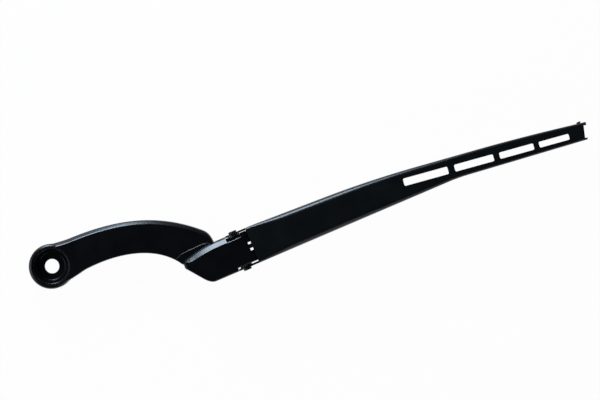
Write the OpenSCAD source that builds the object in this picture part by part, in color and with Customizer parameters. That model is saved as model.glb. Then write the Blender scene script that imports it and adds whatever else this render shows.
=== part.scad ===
// Front wiper arm: a cast head on a tapered spindle, a hinged steel channel and its tension spring.
// Origin on the spindle axis at the middle of the bore's straight land, Z up from the glass,
// X along the straight lower edge of the channel, Y along the hinge pin.

/* [Spindle boss] */
// Radius of the round boss
boss_r = 20.8; // [18.5:0.1:23]
// Height of the boss, flush with the top of the neck
boss_h = 20; // [18:0.5:23]
// Radius of the upper outer edge of the boss
boss_round = 3; // [1:0.25:4]
// Radius of the nut recess
cup_r = 15; // [13.5:0.25:16]
// Width of the bevel round the mouth of the recess
cup_bevel = 2.2; // [0.5:0.1:2.4]
// Radius of the washer seat at the bottom of the recess
seat_r = 12.8; // [11.5:0.1:13.2]
// Depth of the washer seat below the top of the boss
seat_depth = 11; // [9:0.25:12]
// Depth of the step between recess and washer seat
step_depth = 7; // [4:0.25:8]
// Radius of the bore at its narrow end
bore_r = 6.7; // [5.5:0.1:8]
// Length of the straight land at the narrow end of the bore
land_len = 4; // [3:0.5:6]
// Growth in radius of the taper from the land to the underside
taper_growth = 0.9; // [0.4:0.1:1.4]

/* [Neck] */
// Underside of the neck and hood
neck_z = 7; // [6:0.5:9]
// Width of the broad rounded shoulder on the outer bend
shoulder_w = 5; // [2:0.25:6]
// Drop of that shoulder
shoulder_drop = 5.5; // [2:0.25:7]
// Radius of the small edge on the inner bend
inner_edge_r = 1.5; // [0.5:0.1:2.5]
// Wall left round the pockets in the underside
cast_wall = 4; // [3:0.25:5]
// Rise of the low shelf between the neck's top and the hood
shelf_rise = 1.1; // [0.6:0.1:2]

/* [Hood] */
// Height of the hood above the hinge axis
hood_rise = 9; // [8.6:0.1:10]
// Length of the hood from its nose to the hinge axis
hood_len = 52.6; // [48:0.2:56]
// Slope of the hood's slanted front
hood_slope = 1.3; // [1.1:0.05:1.6]
// Width of the flat bevel along the hood and tongue
hood_bevel = 4.4; // [3:0.2:5]
// Drop of that bevel
hood_drop = 3; // [2:0.25:3.5]
// Draft of the hood's side below the bevel
hood_draft = 1.8; // [1.6:0.1:2.4]
// Drop of the hood's bevelled side towards the nose
nose_drop = 4.6; // [4:0.2:6.5]
// Gap between the hood's shoulder and the round end of an ear
shoulder_gap = 0.8; // [0.6:0.1:1.5]

/* [Hinge] */
// Distance of the hinge from the spindle along the channel
hinge_x = 165.8; // [155:0.5:175]
// Offset of the hinge's middle from the spindle across the channel
hinge_drop = 55; // [50:0.5:62]
// Height of the hinge axis above the underside of the boss
hinge_z = 18; // [17:0.25:19]
// Radius of the hinge pin
pin_r = 3; // [2.5:0.1:3.2]
// Radius of the two riveted heads of the hinge pin
pin_head_r = 3.9; // [3.6:0.1:4.4]
// Height of each riveted head
pin_head_h = 2; // [1:0.1:2.4]
// Wall of the hinge bushes
bush_wall = 0.8; // [0.6:0.05:1]
// Thickness of the bush flange that keeps ear and tongue apart
flange_t = 1.15; // [0.6:0.05:1.3]
// Radius of the bush flange
flange_r = 5.6; // [5:0.1:6.4]
// Radial clearance of the running fits
run_fit = 0.05; // [0.02:0.01:0.08]
// Width of the slot through the tongue for the link
fork_w = 7.4; // [6:0.2:9]

/* [Channel] */
// Width of the channel at the hinge, over its side walls
channel_w = 34.6; // [32:0.2:38]
// Length of the channel from the hinge axis to its tip
channel_len = 337.3; // [320:1:350]
// Sheet thickness
sheet_t = 1.8; // [1.4:0.1:2.1]
// Outer radius of the folded shoulders
fold_r = 3.6; // [2.6:0.1:4.2]
// Distance from the hinge axis to the start of the web
web_gap = 12.2; // [11.8:0.1:13]
// Depth of the side walls at the hinge
depth_root = 19; // [17:0.5:20]
// Depth of the side walls at the tip
depth_tip = 9; // [7.5:0.5:12]
// Drop of the web from the hinge to the tip
tip_fall = 4; // [0:0.5:8]
// Height of the channel's bow between hinge and tip
bow = 5; // [2:0.5:7]
// Radius of the ears round the hinge pin
ear_r = 7.7; // [7.2:0.1:8.2]

/* [Slots] */
// Distance from the hinge axis to the first slot
slot_start = 163; // [158:0.5:166]
// Length of the first slot
slot_len = 42.3; // [38:0.5:44]
// Length of each further slot as a share of the one before
slot_ratio = 0.88; // [0.84:0.002:0.89]
// Width of the first slot
slot_w = 6.9; // [5.5:0.1:7.5]
// Loss of width from slot to slot
slot_step = 0.5; // [0.2:0.05:0.7]
// Bridge between the first two slots
slot_bridge = 6.3; // [5.2:0.1:7]
// Loss of each further bridge
bridge_step = 0.55; // [0:0.05:0.7]
// Corner radius of the slots
slot_corner = 1.2; // [0.6:0.1:2]

/* [Tip] */
// Length of the two prongs beyond the web
prong_len = 2.4; // [1:0.2:4]
// Radius of the stub rivet in the tip's wall
tip_pin_r = 1.5; // [1.1:0.1:2]
// Distance of the stub rivet behind the middle of the web's end
tip_pin_back = 1.2; // [0:0.1:4]

/* [Spring and link] */
// Radius of the anchor pin in the head
anchor_r = 2.2; // [1.8:0.1:2.3]
// Distance of the anchor pin behind the hinge axis
anchor_back = 4; // [3.8:0.1:4.4]
// Distance of the anchor pin below the hinge axis
anchor_low = 6.5; // [6.4:0.1:6.8]
// Distance of the spring rivet ahead of the hinge axis
rivet_ahead = 120; // [112:1:128]
// Distance of the spring rivet below the hinge axis
rivet_low = 2; // [1.5:0.25:3]
// Radius of the spring rivet
rivet_r = 2.4; // [2:0.1:2.6]
// Thickness of the flat link
link_t = 4; // [3:0.1:5]
// Radius of the link's eye on the anchor pin
link_eye_r = 4.2; // [4:0.1:4.3]
// Half height of the link's bowed bar
link_bar = 1.9; // [1.5:0.05:2]
// Sag of the link's bowed bar below the line of pull
link_bow = 9.2; // [9.1:0.05:9.4]
// Distance from the anchor pin to the spring's hook in the link
hook_reach = 28; // [27:0.25:30]
// Radius of the spring wire
wire_r = 1; // [0.8:0.05:1.1]
// Mean radius of the spring's coil
coil_r = 4.8; // [4.4:0.1:4.9]
// Number of turns of the coil
coil_turns = 30; // [24:1:34]

/* [Hidden] */
$fn = 64;
eps = 0.01;

// Heights below are counted from the underside of the boss. Each piece is then lowered so that the
// origin comes to the middle of the bore's land
land_mid = boss_h - seat_depth - land_len / 2;
module from_land() {
    translate([0, 0, -land_mid]) children();
}

// Hinge and channel places
hinge_y = -hinge_drop;
wall_lo = hinge_y - channel_w / 2;
wall_up = hinge_y + channel_w / 2;
hood_top = hinge_z + hood_rise;
web_x = hinge_x + web_gap;
tip_x = hinge_x + channel_len;
side_gap = flange_t + 2 * run_fit;
tongue_w = channel_w - 2 * sheet_t - 2 * side_gap;
bush_r = pin_r + run_fit + bush_wall;
shoulder_x = hinge_x - ear_r - shoulder_gap;
nose_x = hinge_x - hood_len;

// Points on a curve with four control points
function bez(p, t) = pow(1 - t, 3) * p[0] + 3 * t * pow(1 - t, 2) * p[1]
    + 3 * t * t * (1 - t) * p[2] + pow(t, 3) * p[3];
// Zero before the start, a parabola over the width, a straight line after it
function ramp(d, w) = d < 0 ? 0 : d < w ? d * d / (2 * w) : d - w / 2;
// Quarter of an ellipse from one angle to another
function arc(c, rx, ry, a0, a1, n) =
    [for (i = [0:n]) let (a = a0 + (a1 - a0) * i / n) c + [rx * cos(a), ry * sin(a)]];
function unit(v) = v / norm(v);
function reversed(v) = [for (i = [len(v) - 1:-1:0]) v[i]];

// Solid through a row of rings with the same number of points
module loft(rings, solid_ends = true) {
    n = len(rings[0]);
    m = len(rings);
    half = n / 2;
    sides = [for (j = [0:m - 2]) for (i = [0:n - 1]) let (k = (i + 1) % n)
        each [[j * n + i, j * n + k, (j + 1) * n + k], [j * n + i, (j + 1) * n + k, (j + 1) * n + i]]];
    // A folded section is closed by a strip between its outer and inner halves
    strip = [for (i = [0:half - 2]) [i, n - 1 - i, n - 2 - i, i + 1]];
    first = solid_ends ? [[for (i = [n - 1:-1:0]) i]] : strip;
    last = solid_ends ? [[for (i = [0:n - 1]) i + (m - 1) * n]]
        : [for (f = strip) [for (i = reversed(f)) i + (m - 1) * n]];
    polyhedron([for (r = rings) each r], concat(sides, first, last), convexity = 6);
}

// Cylinder along Y through a point of the hinge side, from one Y to another
module bar_y(at, r, y0, y1) {
    translate([at[0], y0, at[1]]) rotate([-90, 0, 0]) cylinder(r = r, h = y1 - y0);
}
// Plate in the XZ plane of the hinge side, from one Y to another
module plate_y(y0, y1) {
    translate([0, y1, 0]) rotate([90, 0, 0]) linear_extrude(y1 - y0) children();
}

// Head

// Outer bend of the neck, from the boss to the corner beside the hood
outer_bend = [[0, boss_r - 3.9], [60, 19.5], [hinge_x - 61.7, 11.8], [hinge_x - 24, -24.5]];
outer_corner = [outer_bend[3], [hinge_x - 20.5, -28], [hinge_x - 19.2, -32], [hinge_x - 19.2, wall_up - 2]];
// Inner bend of the neck, from the boss to the notch beside the nose
inner_bend = [[0, 1.2 - boss_r], [44.7, -8.8], [hinge_x - 74.1, -15.1], [hinge_x - 54.9, -44.2]];
inner_corner = [inner_bend[3], [hinge_x - 54.5, -46], [hinge_x - 51, -48], [hinge_x - 47, -51]];
bend_n = 16;
corner_n = 5;
function outer_pt(t) = t <= 1 ? bez(outer_bend, t) : bez(outer_corner, t - 1);
function inner_pt(t) = t <= 1 ? bez(inner_bend, t) : bez(inner_corner, t - 1);
bend_t = concat([for (i = [0:bend_n]) i / bend_n], [for (i = [1:corner_n]) 1 + i / corner_n]);

function neck_section(w) = concat(
    [[0, neck_z]],
    arc([inner_edge_r, boss_h - inner_edge_r], inner_edge_r, inner_edge_r, 180, 90, 3),
    arc([w - shoulder_w, boss_h - shoulder_drop], shoulder_w, shoulder_drop, 90, 0, 6),
    [[w, neck_z]]);
function neck_ring(t) = let (a = inner_pt(t), b = outer_pt(t), e = unit(b - a))
    [for (p = neck_section(norm(b - a))) [each (a + e * p[0]), p[1]]];

// The hood's two long edges
function hood_up(x) = wall_up - nose_drop * pow(max(0, hinge_x - 15 - x) / (hood_len - 15), 2);
hood_front = (channel_w / 2 + 4.8) / hood_slope;
function hood_lo(x) = let (d = x - nose_x)
    wall_lo + hood_slope * (hood_front - ramp(d + 2.2, 4) + ramp(d - hood_front + 5.2, 10));
function hood_crown(x) = let (r = 2.4, d = r - min(r, x - nose_x)) hood_top - r + sqrt(r * r - d * d);
hood_stations = [0, 0.25, 0.8, 1.6, 2.6, 5, 8, 11, 14, 17, 19.5, 21.5, 23, 24.2, 28, 34, 40];
function hood_ring(x) = let (y0 = hood_lo(x), y1 = hood_up(x), z = hood_crown(x), r = inner_edge_r + 0.4)
    [for (p = concat([[y0, neck_z]], arc([y0 + r, z - r], r, r, 180, 90, 4),
        [[y1 - hood_draft - hood_bevel, z], [y1 - hood_draft, z - hood_drop], [y1, z - hood_drop - 2.4],
        [y1, neck_z]]))
        [x, p[0], p[1]]];

module hood() {
    loft([for (d = hood_stations) hood_ring(nose_x + d), hood_ring(shoulder_x)]);
}

// Low shelf along the hood, a small step above the neck's top
module shelf() {
    translate([hinge_x, wall_up, neck_z + 2]) linear_extrude(boss_h + shelf_rise - neck_z - 2) polygon([[-56.4, -0.6],
        [-51, 1.2], [-44, 1.7], [-36, 2], [-29, 2.1], [-24.5, 1.2], [-22, -1], [-22, -6], [-44, -12], [-50, -9]]);
}

// Side view of the tongue: roof to the ridge, ramp, stop nose under the web, front and underside
ridge = [4.8, hood_rise];
roof_end = 9.4;
stop_z = hood_rise - sheet_t - 0.3;
front_x = web_gap + 3.3;
tongue_low = anchor_low + 6;
tongue_back = ear_r + shoulder_gap + 1.5;
module tongue_side() {
    translate([hinge_x, hinge_z]) polygon([[-tongue_back, -tongue_low], [3, -tongue_low], [9, -tongue_low + 2],
        [front_x, -6], [front_x, stop_z], [web_gap + 0.7, stop_z], [roof_end + 2.4, 3.4],
        [roof_end + 0.4, hood_rise - 2.6], ridge, [-tongue_back, hood_rise]]);
}
// Front view of the tongue: one upper edge rounded, the other bevelled in line with the hood and then
// falling steeply to the flange of the bush
module tongue_front() {
    w = tongue_w / 2;
    r = 1.6;
    bevel_in = channel_w / 2 - hood_draft - hood_bevel;
    translate([hinge_y, hinge_z]) polygon(concat([[-w, -tongue_low - 1]],
        arc([r - w, hood_rise - r], r, r, 180, 90, 6),
        [[bevel_in - 0.3, hood_rise], [bevel_in + 0.9, hood_rise - 1.2 * hood_drop / hood_bevel],
        [w, flange_r + 0.1], [w, -tongue_low - 1]]));
}
module tongue() {
    intersection() {
        plate_y(hinge_y - tongue_w / 2 - 1, hinge_y + tongue_w / 2 + 1) tongue_side();
        translate([hinge_x - tongue_back, 0, 0]) rotate([90, 0, 90])
            linear_extrude(tongue_back + front_x + 1) tongue_front();
    }
}

// Pocket in the underside between two places along the neck
module neck_pocket(t0, t1) {
    n = 8;
    ts = [for (i = [0:n]) t0 + (t1 - t0) * i / n];
    translate([0, 0, -1]) linear_extrude(boss_h - cast_wall + 1) polygon(concat(
        [for (t = ts) inner_pt(t) + cast_wall * unit(outer_pt(t) - inner_pt(t))],
        [for (t = reversed(ts)) outer_pt(t) - (cast_wall + 1) * unit(outer_pt(t) - inner_pt(t))]));
}
module hood_pocket() {
    x1 = shoulder_x - 5;
    translate([0, 0, -1]) linear_extrude(hood_top - cast_wall + 1) polygon([
        [nose_x + 11, hinge_y + 6], [nose_x + 16, hinge_y + 9], [x1, hinge_y + 10],
        [x1, wall_lo + cast_wall], [nose_x + 25, wall_lo + cast_wall], [nose_x + 19, wall_lo + cast_wall + 4]]);
}

module boss_form() {
    rotate_extrude() polygon(concat([[0, 0], [boss_r - 1, 0], [boss_r, 1]],
        arc([boss_r - boss_round, boss_h - boss_round], boss_round, boss_round, 0, 90, 6), [[0, boss_h]]));
}
module boss_cuts() {
    seat_z = boss_h - seat_depth;
    rotate_extrude() polygon([[0, seat_z], [seat_r, seat_z], [seat_r, boss_h - step_depth],
        [cup_r, boss_h - step_depth], [cup_r, boss_h - cup_bevel * 0.8],
        [cup_r + cup_bevel, boss_h + eps], [cup_r + cup_bevel, boss_h + 2], [0, boss_h + 2]]);
    translate([0, 0, -1]) cylinder(r = bore_r, h = boss_h);
    rotate_extrude() polygon([[0, -1], [bore_r + taper_growth, -1], [bore_r + taper_growth, 0],
        [bore_r, seat_z - land_len], [0, seat_z - land_len]]);
}

// Slot for the link: low at the back under the roof, open at the front
module fork_slot() {
    plate_y(hinge_y - fork_w / 2, hinge_y + fork_w / 2) translate([hinge_x, hinge_z]) {
        back = anchor_back + link_eye_r + 0.8;
        polygon([[-back, -tongue_low - 1], [front_x + 1, -tongue_low - 1], [front_x + 1, hood_rise + 1],
            [roof_end, hood_rise + 1], [roof_end, pin_r + 2.4], [5, pin_r + 1.5], [-back, pin_r + 1.5]]);
    }
}

module head() {
    color([0.05, 0.052, 0.058]) from_land() difference() {
        union() {
            boss_form();
            loft([for (t = bend_t) neck_ring(t)]);
            shelf();
            hood();
            tongue();
        }
        boss_cuts();
        neck_pocket(0.3, 0.58);
        neck_pocket(0.62, 0.96);
        hood_pocket();
        fork_slot();
        bar_y([hinge_x, hinge_z], bush_r, hinge_y - channel_w / 2, hinge_y + channel_w / 2);
        bar_y([anchor_x, anchor_z], anchor_r, hinge_y - tongue_w / 2 - 1, hinge_y + tongue_w / 2 + 1);
    }
}

// Hinge

ear_out = channel_w / 2;
module hinge_pin() {
    color([0.07, 0.07, 0.075]) from_land() {
        bar_y([hinge_x, hinge_z], pin_r, hinge_y - ear_out, hinge_y + ear_out);
        for (s = [-1, 1]) translate([hinge_x, hinge_y + s * ear_out, hinge_z]) rotate([-90 * s, 0, 0])
            rotate_extrude() polygon(concat([[0, 0], [pin_head_r, 0]],
                arc([pin_head_r - 0.9, pin_head_h - 0.9], 0.9, 0.9, 0, 90, 4), [[0, pin_head_h]]));
    }
}
// Flanged bush in one cheek of the tongue, s = 1 on the outer-bend side and -1 on the other
module hinge_bush(s) {
    color([0.2, 0.19, 0.17]) from_land() translate([hinge_x, hinge_y, hinge_z]) rotate([-90 * s, 0, 0]) difference() {
        union() {
            translate([0, 0, fork_w / 2]) cylinder(r = bush_r, h = (tongue_w - fork_w) / 2);
            translate([0, 0, tongue_w / 2]) cylinder(r = flange_r, h = flange_t);
        }
        cylinder(r = pin_r + run_fit, h = channel_w);
    }
}
module bush_upper() { hinge_bush(1); }
module bush_lower() { hinge_bush(-1); }

// Channel

// Outer faces of the two side walls, the web's height and the walls' depth, all along X
fold_x = hinge_x + 203;
lower_slope = 0.117;
function y_lo(x) = wall_lo - lower_slope * ramp(x - fold_x, 16);
function y_up(x) = wall_up - 0.038 * ramp(x - web_x - 5, 4) - 0.09 * ramp(x - hinge_x - 90, 90)
    - 0.044 * ramp(x - hinge_x - 235, 80);
function along(x) = (x - web_x) / (tip_x - web_x);
function web_z(x) = hood_top - tip_fall * along(x) + bow * 4 * along(x) * (1 - along(x));
function depth(x) = depth_root - (depth_root - depth_tip) * ramp(x - hinge_x - 90, 60) / (channel_len - 120);

function channel_ring(x) = let (a = y_lo(x), b = y_up(x), z = web_z(x), low = z - depth(x),
    r = fold_r, q = fold_r - sheet_t, n = 4)
    [for (p = concat(
        [[a, low]], arc([a + r, z - r], r, r, 180, 90, n), arc([b - r, z - r], r, r, 90, 0, n), [[b, low]],
        [[b - sheet_t, low]], arc([b - r, z - r], q, q, 0, 90, n), arc([a + r, z - r], q, q, 90, 180, n),
        [[a + sheet_t, low]])) [x, p[0], p[1]]];

// Side view of an ear: round about the pin, widening to the wall
ear_run = web_gap + 5;
module ear_side() {
    top = web_z(web_x) - fold_r - hinge_z;
    low = web_z(web_x) - depth_root - hinge_z;
    translate([hinge_x, hinge_z]) {
        circle(r = ear_r);
        polygon([[0, ear_r], [web_gap, top], [ear_run, top], [ear_run, low + 0.2], [web_gap, low + 0.2],
            [0, -ear_r]]);
    }
}

// Slots in the web, in a row that follows the taper
slot_n = 4;
slot_dir = -7.67;
slot_from = [hinge_x + slot_start, wall_up - channel_w * 0.543];
function slot_l(i) = slot_len * pow(slot_ratio, i);
function slot_at(i) = i == 0 ? 0 : slot_at(i - 1) + slot_l(i - 1) + slot_bridge - bridge_step * (i - 1);
module slot_cut(i) {
    l = slot_l(i);
    w = slot_w - slot_step * i;
    c = slot_corner;
    translate([slot_from[0], slot_from[1], hinge_z]) rotate([0, 0, slot_dir]) translate([slot_at(i), -w / 2, 0])
        linear_extrude(30) {
            translate([c, 0]) square([l - 2 * c, w]);
            translate([0, c]) square([l, w - 2 * c]);
            for (x = [c, l - c]) for (y = [c, w - c]) translate([x, y]) circle(r = c);
        }
}

// The tip is cut off at a slight slant, the web a little shorter than the walls
tip_slant = -16.5;
tip_mid = [tip_x - 2.6, (y_lo(tip_x) + y_up(tip_x)) / 2];
tip_pin_at = [tip_mid[0] - tip_pin_back, web_z(tip_x) - depth_tip * 0.55];
module tip_cut() {
    translate([tip_mid[0], tip_mid[1], 0]) rotate([0, 0, tip_slant]) {
        translate([prong_len, -channel_w, 0]) cube([channel_w, 2 * channel_w, 2 * hood_top]);
        translate([0, -(y_up(tip_x) - y_lo(tip_x)) / 2 + sheet_t + 0.6, 0])
            cube([channel_w, y_up(tip_x) - y_lo(tip_x) - 2 * sheet_t - 1.2, 2 * hood_top]);
    }
}

channel_x = [0, 0.018, 0.043, 0.074, 0.111, each [0.148:0.049:0.9], 0.93, 0.965, 1];
module arm_channel() {
    color([0.07, 0.075, 0.085]) from_land() difference() {
        union() {
            loft([for (d = channel_x) channel_ring(web_x + d * (tip_x + 2 * prong_len - web_x))],
                solid_ends = false);
            plate_y(wall_lo, wall_lo + sheet_t) ear_side();
            plate_y(wall_up - sheet_t, wall_up) ear_side();
        }
        for (i = [0:slot_n - 1]) slot_cut(i);
        tip_cut();
        bar_y([hinge_x, hinge_z], pin_r, wall_lo - 1, wall_up + 1);
        bar_y([rivet_x, rivet_z], rivet_r, y_lo(rivet_x) - 1, y_up(rivet_x) + 1);
        bar_y(tip_pin_at, tip_pin_r, tip_mid[1], y_up(tip_x) + 9);
    }
}

// Stub rivet in the upper wall of the tip, with a low head outside and an upset end inside
module tip_rivet() {
    face = y_up(tip_pin_at[0] - tip_pin_r - 0.5) + 0.02;
    color([0.07, 0.07, 0.075]) from_land() {
        bar_y(tip_pin_at, tip_pin_r, face - sheet_t - 0.9, face);
        bar_y(tip_pin_at, tip_pin_r + 0.5, face, face + 1.2);
    }
}

// Spring and link

anchor_x = hinge_x - anchor_back;
anchor_z = hinge_z - anchor_low;
rivet_x = hinge_x + rivet_ahead;
rivet_z = hinge_z - rivet_low;
pull_angle = atan2(rivet_z - anchor_z, rivet_x - anchor_x);
pull_len = norm([rivet_x - anchor_x, rivet_z - anchor_z]);
// Longest stretch, when anchor pin, hinge pin and spring rivet stand in line
stretch = norm([anchor_back, anchor_low]) + norm([rivet_ahead, rivet_low]) - pull_len;
hook_play = 0.7;
hook_wall = 2.3;

module anchor_pin() {
    color([0.35, 0.34, 0.32]) from_land()
        bar_y([anchor_x, anchor_z], anchor_r, hinge_y - tongue_w / 2, hinge_y + tongue_w / 2);
}
module spring_rivet() {
    color([0.07, 0.07, 0.075]) from_land()
        bar_y([rivet_x, rivet_z], rivet_r, y_lo(rivet_x), y_up(rivet_x) - 0.1);
}

// Middle line of the link's bowed bar: down from the eye, along below the pin, up to the hook
bar_line = let (low = -link_bow) concat(
    [for (i = [0:12]) bez([[0, 0], [0.2, low * 0.7], [2.4, low], [6, low]], i / 12)],
    [for (i = [0:10]) bez([[16, low], [20.4, low], [21.4, low * 0.62], [22.8, low * 0.34]], i / 10)],
    [for (i = [1:8]) bez([[22.8, low * 0.34], [23.8, low * 0.12], [25.2, 0], [hook_reach, 0]], i / 8)]);
// Outline of a band along a line
function side_of(pts, r) = [for (i = [0:len(pts) - 1]) let (d = pts[min(i + 1, len(pts) - 1)] - pts[max(i - 1, 0)])
    pts[i] + r * unit([-d[1], d[0]])];
hook_back = hook_reach + hook_play - 0.3;
ring_sag = coil_r - sqrt(coil_r * coil_r - link_t * link_t / 4);
hook_front = hook_reach + stretch + ring_sag + 0.3 - hook_play;
hook_r = wire_r + hook_play + hook_wall;
// The part of such an outline that lies clear of the eye and of the hook's end
function clear_of_ends(pts) =
    [for (p = pts) if (norm(p) > link_eye_r + 0.1 && norm(p - [hook_back, 0]) > hook_r + 0.1) p];
function turn(v) = atan2(v[1], v[0]);
module link_side() {
    above = clear_of_ends(side_of(bar_line, link_bar));
    below = clear_of_ends(side_of(bar_line, -link_bar));
    last = len(below) - 1;
    r = wire_r + hook_play;
    difference() {
        polygon(concat(
            arc([0, 0], link_eye_r, link_eye_r, turn(above[0]) + 4, turn(below[0]) + 356, 40),
            below,
            arc([hook_back, 0], hook_r, hook_r, turn(below[last] - [hook_back, 0]) + 364, 270, 6),
            arc([hook_front, 0], hook_r, hook_r, -90, 90, 20),
            arc([hook_back, 0], hook_r, hook_r, 90, turn(above[len(above) - 1] - [hook_back, 0]) - 4, 8),
            reversed(above)));
        circle(r = anchor_r + run_fit);
        polygon(concat(arc([hook_front, 0], r, r, -90, 90, 16), arc([hook_back, 0], r, r, 90, 270, 16)));
    }
}
module spring_link() {
    color([0.3, 0.3, 0.31]) from_land() translate([anchor_x, hinge_y + link_t / 2, anchor_z])
        rotate([0, -pull_angle, 0]) rotate([90, 0, 0]) linear_extrude(link_t) link_side();
}

// Path of the spring wire along the line of pull, starting at the link
ring_gap = rivet_r + 0.1 + wire_r;
coil_from = hook_reach + 2 * coil_r + 3;
coil_to = pull_len - 2 * coil_r - 3 + (coil_r - ring_gap);
function hermite(a, da, b, db, t) = (2 * pow(t, 3) - 3 * t * t + 1) * a + (pow(t, 3) - 2 * t * t + t) * da
    + (3 * t * t - 2 * pow(t, 3)) * b + (pow(t, 3) - t * t) * db;
link_ring_x = hook_reach + coil_r;
rivet_ring_x = pull_len - coil_r + ring_gap;
function coil_pt(u) = [coil_from + (coil_to - coil_from) * u, coil_r * cos(360 * coil_turns * u + 60),
    coil_r * sin(360 * coil_turns * u + 60)];
link_ring = [for (a = [285:-15:90]) [link_ring_x + coil_r * cos(a), coil_r * sin(a), 0]];
rivet_ring = [for (a = [90:-15:-105]) [rivet_ring_x + coil_r * cos(a), 0, coil_r * sin(a)]];
coil_steps = 11 * coil_turns;
coil = [for (i = [0:coil_steps]) coil_pt(i / coil_steps)];
coil_end = coil[coil_steps];
coil_dir = coil_end - coil[coil_steps - 1];
spring_path = concat(link_ring,
    [for (i = [1:4]) hermite(link_ring[len(link_ring) - 1], [7, 0, 0], coil[0],
        6 * unit(coil[1] - coil[0]), i / 5)],
    coil,
    [for (i = [1:5]) hermite(coil_end, 7 * unit(coil_dir), rivet_ring[0], [7, 0, 0], i / 6)],
    rivet_ring);

// Frames carried along a path without twist
function tangents(p) = [for (i = [0:len(p) - 1]) unit(p[min(i + 1, len(p) - 1)] - p[max(i - 1, 0)])];
function normals(t) = [for (i = 0, n = unit(cross(t[0], [0, 0, 1])); i < len(t);
    i = i + 1, n = i < len(t) ? unit(n - (n * t[i]) * t[i]) : n) n];
module sweep(path, r, sides) {
    t = tangents(path);
    n = normals(t);
    loft([for (i = [0:len(path) - 1]) let (b = cross(t[i], n[i]))
        [for (k = [0:sides - 1]) path[i] + r * (cos(360 * k / sides) * n[i] + sin(360 * k / sides) * b)]]);
}
module tension_spring() {
    color([0.25, 0.25, 0.26]) from_land() translate([anchor_x, hinge_y, anchor_z]) rotate([0, -pull_angle, 0])
        sweep(spring_path, wire_r, 6);
}

head();
hinge_pin();
bush_upper();
bush_lower();
arm_channel();
tip_rivet();
anchor_pin();
spring_rivet();
spring_link();
tension_spring();
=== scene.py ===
"""The looks of a windscreen wiper arm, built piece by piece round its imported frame."""
import math

import bmesh
import bpy
from mathutils import Matrix, Vector


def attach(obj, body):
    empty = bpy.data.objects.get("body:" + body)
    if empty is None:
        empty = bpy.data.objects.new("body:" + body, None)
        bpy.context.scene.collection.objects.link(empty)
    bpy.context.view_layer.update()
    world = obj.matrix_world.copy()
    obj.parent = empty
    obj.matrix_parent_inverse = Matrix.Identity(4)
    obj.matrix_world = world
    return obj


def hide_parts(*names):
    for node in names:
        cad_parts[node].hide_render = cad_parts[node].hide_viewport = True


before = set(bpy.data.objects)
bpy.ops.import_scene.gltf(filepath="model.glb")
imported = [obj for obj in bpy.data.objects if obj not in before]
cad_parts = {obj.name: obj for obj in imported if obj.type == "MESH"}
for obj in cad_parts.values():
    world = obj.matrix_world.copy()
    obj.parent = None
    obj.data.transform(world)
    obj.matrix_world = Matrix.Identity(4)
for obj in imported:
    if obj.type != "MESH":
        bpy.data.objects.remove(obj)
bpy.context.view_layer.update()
bpy.ops.object.select_all(action="DESELECT")

# ---- View ----
# The arm is seen from straight above, from a few metres away, with its channel rising to the right.
# The camera looks down on a point between the hinge and the slots.
AIM = Vector((0.23496, -0.0339, 0.013))
CAMERA_DISTANCE, CAMERA_REACH = 2.4, 20
PIXELS_PER_METRE = 1085.2
PICTURE_WIDTH = 600
PICTURE_TURN = math.radians(23.15)
PICTURE_LEAN = math.radians(0.35)
SENSOR = 36.0

bpy.ops.object.camera_add()
camera = bpy.context.object
camera.name = "camera"
to_picture = Matrix.Rotation(PICTURE_LEAN, 3, "Y") @ Matrix.Rotation(PICTURE_TURN, 3, "Z")
from_picture = to_picture.transposed()
camera.matrix_world = (
    Matrix.Translation(AIM + from_picture @ Vector((0, 0, CAMERA_DISTANCE)))
    @ from_picture.to_4x4()
)
camera.data.sensor_width = SENSOR
camera.data.lens = SENSOR * CAMERA_DISTANCE * PIXELS_PER_METRE / PICTURE_WIDTH
camera.data.clip_end = CAMERA_REACH
bpy.context.scene.camera = camera

# ---- Neck of the casting ----
# The curved arm of the die casting, from the spindle boss to the hood. Its top is flat, its outer
# bend has a broad bevelled shoulder, flatter towards the hood, and its inner bend a small radius.
MM = 0.001
WELD = 0.000002
BOSS_UNDERSIDE = -7.0
NECK_LOW, NECK_TOP = 7.0, 20.0
SHOULDER_WIDTH, SHOULDER_BLEND = 4.4, 1.6
SHOULDER_RUNS = (0, 0.4, 0.8, 1.2, 1.6, 3.6)
SHOULDER_FOOT = ((0.4, 0.5), (0.12, 1.1), (0, 2))
SHOULDER_STEEP, SHOULDER_EASE = 0.98, 0.0046
EASE_START, EASE_END, EASE_BLEND = 36, 95, 10
INNER_ROUND, UNDER_BREAK = 1.5, 0.6
OUTER_BEND = ((0, 16.9), (60, 19.5), (104.1, 11.8), (141.8, -24.5))
OUTER_CORNER = ((141.8, -24.5), (145.3, -28), (146.6, -32), (146.6, -39.7))
INNER_BEND = ((0, -19.6), (44.7, -8.8), (91.7, -15.1), (110.9, -44.2))
INNER_CORNER = ((110.9, -44.2), (111.3, -46), (114.8, -48), (118.8, -51))
BEND_STEPS, CORNER_STEPS = 48, 8
OUTER_FLARE, OUTER_FLARE_END, OUTER_FLARE_CURVE = 3.5, 24, 1.5
INNER_FLARE, INNER_FLARE_MIDDLE, INNER_FLARE_HALF = 0.9, 14, 13


def place(x, y, z=0.0):
    """A point in millimetres, its height counted from the underside of the boss, in metres."""
    return Vector((x, y, z + BOSS_UNDERSIDE)) * MM


def bend_point(controls, t):
    """The point at t of a curve with four control points."""
    s = 1 - t
    weights = (s**3, 3 * t * s * s, 3 * t * t * s, t**3)
    return [sum(w * c[i] for w, c in zip(weights, controls)) for i in (0, 1)]


def long_bend(bend, corner):
    """Points along a bend of the neck and on round its corner."""
    first = [bend_point(bend, i / BEND_STEPS) for i in range(BEND_STEPS + 1)]
    return first + [bend_point(corner, i / CORNER_STEPS) for i in range(1, CORNER_STEPS + 1)]


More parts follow.
